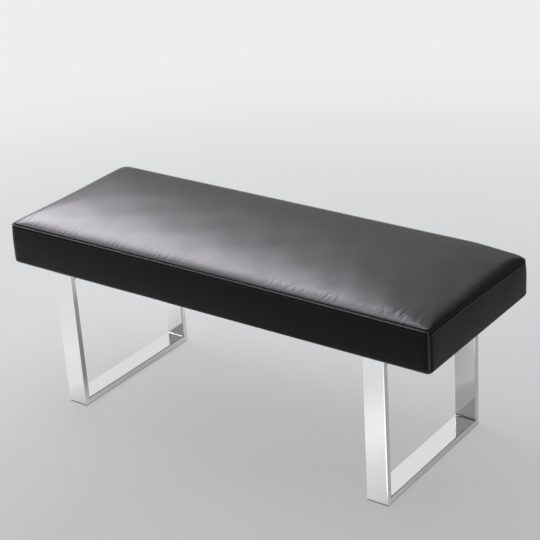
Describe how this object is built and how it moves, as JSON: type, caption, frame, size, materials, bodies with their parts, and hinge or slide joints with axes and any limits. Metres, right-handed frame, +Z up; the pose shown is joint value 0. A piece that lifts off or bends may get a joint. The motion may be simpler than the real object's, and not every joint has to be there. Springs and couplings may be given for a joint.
{
  "type": "upholstered dining bench",
  "caption": "Backless bench with a thick, crowned pad in black leather-look vinyl on two closed loops of flat chromed tube.",
  "frame": {"origin": "On the floor, under the middle of the seat.", "axes": "+X runs along the bench, towards its right-hand end as seen from the front (from -Y), +Y runs from the front to the back, and +Z is up."},
  "size_m": [1.2, 0.44, 0.49],
  "materials": {
    "black_cover": "satin",
    "wadding": "matte",
    "foam": "matte",
    "plywood": "matte",
    "timber": "matte",
    "dust_cloth": "matte",
    "zinc_steel": "satin",
    "chrome_tube": "polished",
    "glide_plastic": "matte"
  },
  "bodies": {
    "root": {"cover_top_panel": "black_cover", "cover_front_panel": "black_cover", "cover_rear_panel": "black_cover", "cover_left_panel": "black_cover", "cover_right_panel": "black_cover", "wadding": "wadding", "seat_foam": "foam", "edge_foam": "foam", "seat_deck": "plywood", "frame_front_rail": "timber", "frame_rear_rail": "timber", "frame_left_end_rail": "timber", "frame_right_end_rail": "timber", "frame_left_leg_rail": "timber", "frame_right_leg_rail": "timber", "frame_centre_rail": "timber", "corner_blocks": "timber", "deck_screws": "zinc_steel", "frame_screws": "zinc_steel", "dust_cover": "dust_cloth", "staples": "zinc_steel", "left_front_post": "chrome_tube", "left_rear_post": "chrome_tube", "left_floor_rail": "chrome_tube", "left_top_rail": "chrome_tube", "right_front_post": "chrome_tube", "right_rear_post": "chrome_tube", "right_floor_rail": "chrome_tube", "right_top_rail": "chrome_tube", "left_floor_glides": "glide_plastic", "right_floor_glides": "glide_plastic", "left_leg_bolts": "zinc_steel", "right_leg_bolts": "zinc_steel", "left_washers": "zinc_steel", "right_washers": "zinc_steel", "left_spring_washers": "zinc_steel", "right_spring_washers": "zinc_steel", "left_tee_nuts": "zinc_steel", "right_tee_nuts": "zinc_steel"}
  },
  "joints": []
}
